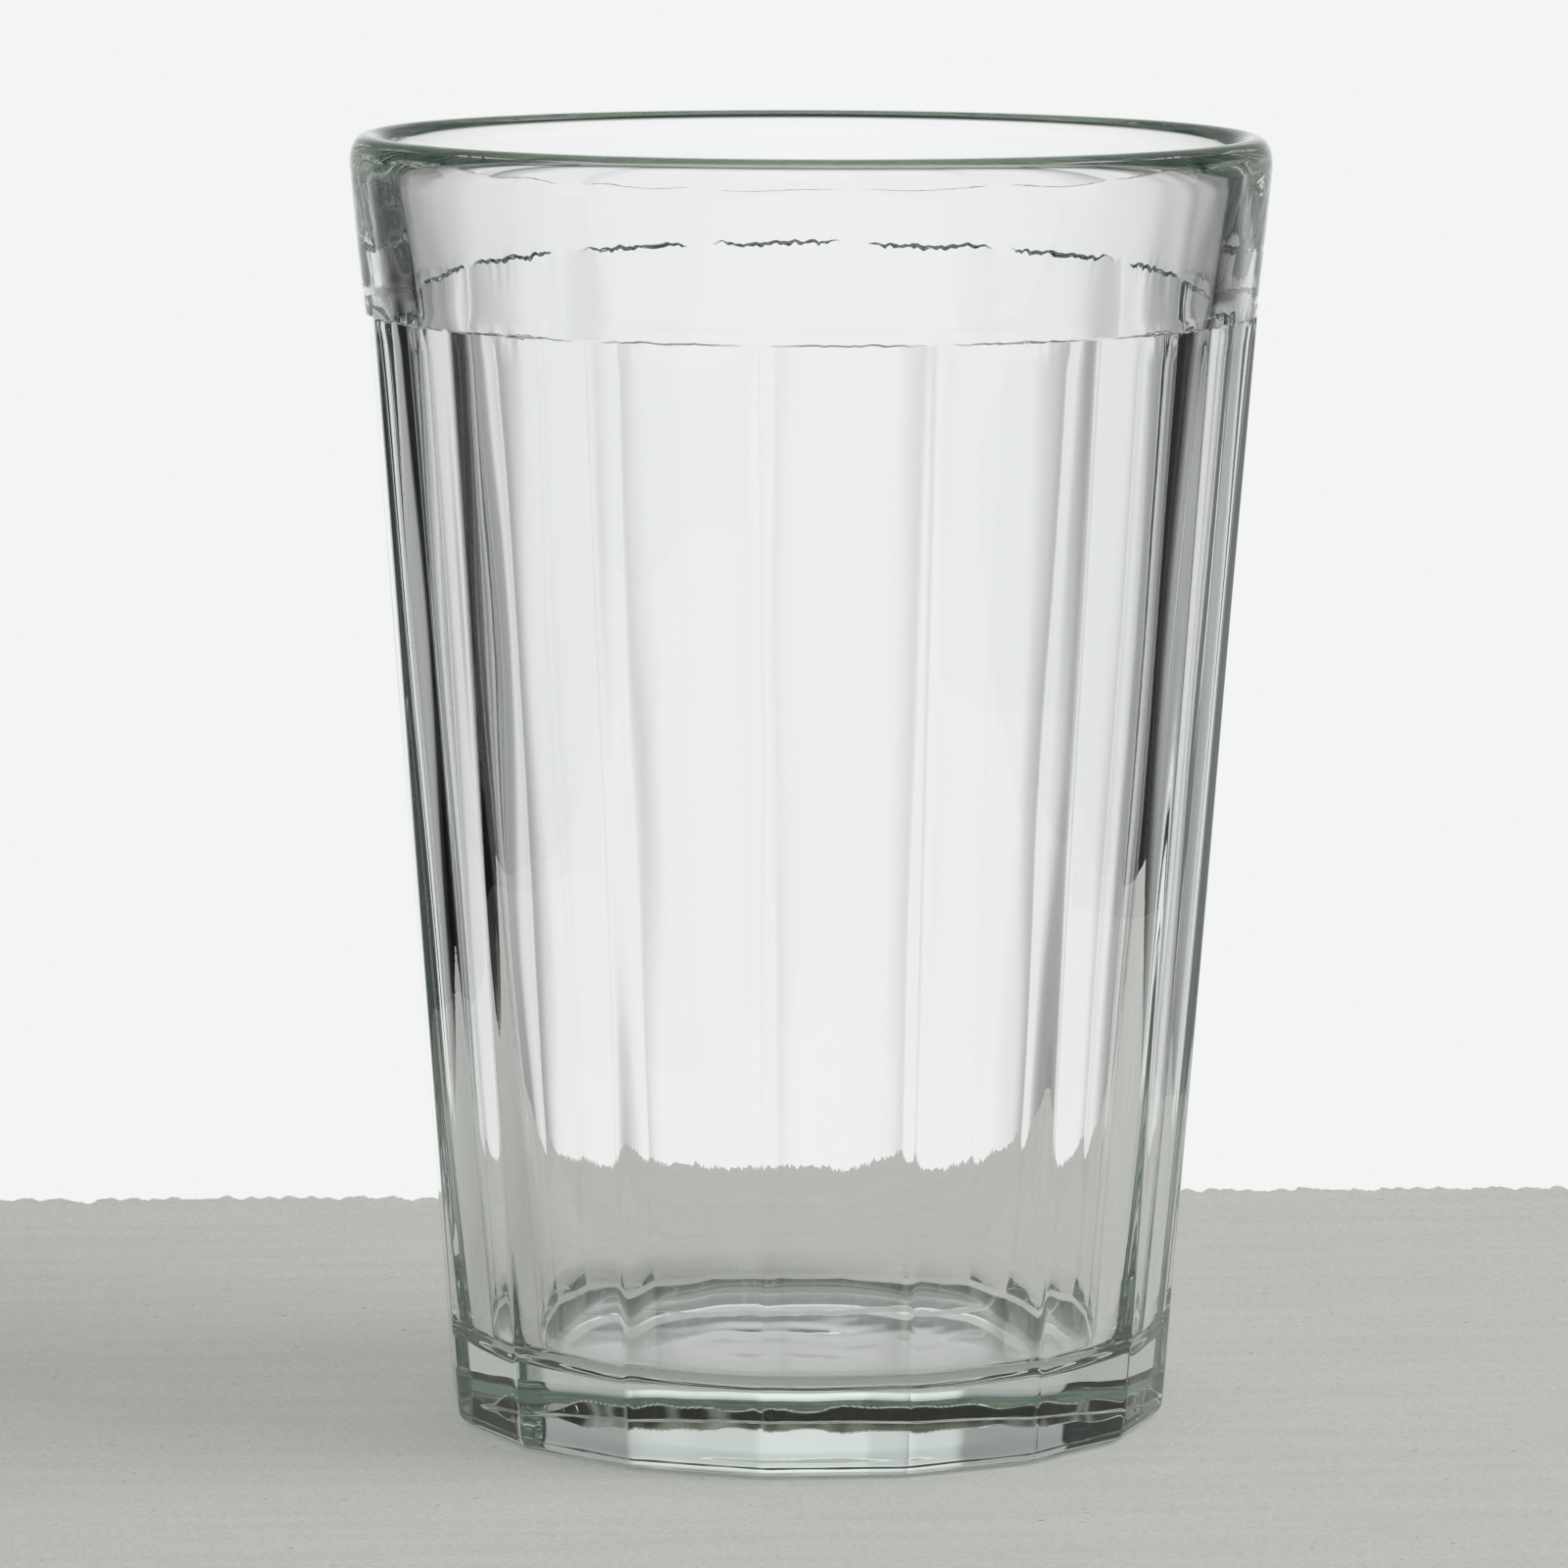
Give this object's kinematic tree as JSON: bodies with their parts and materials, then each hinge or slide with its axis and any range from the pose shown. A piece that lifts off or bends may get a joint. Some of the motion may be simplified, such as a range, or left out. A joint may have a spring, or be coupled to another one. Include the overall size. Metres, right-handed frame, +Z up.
{
  "type": "faceted tea glass",
  "caption": "Tapered drinking glass of clear pressed glass, with flat facets round the body, a smooth band under the rounded lip and a thick base.",
  "frame": {"origin": "on the table under the middle of the glass", "axes": "+Z up along the axis of the glass; -Y through the middle of one facet, which is taken as the front"},
  "size_m": [0.073, 0.073, 0.1025],
  "materials": {
    "glass": "clear, smooth pressed glass with a fire-polished lip"
  },
  "bodies": {
    "root": {"glass_body": "glass"}
  },
  "joints": []
}
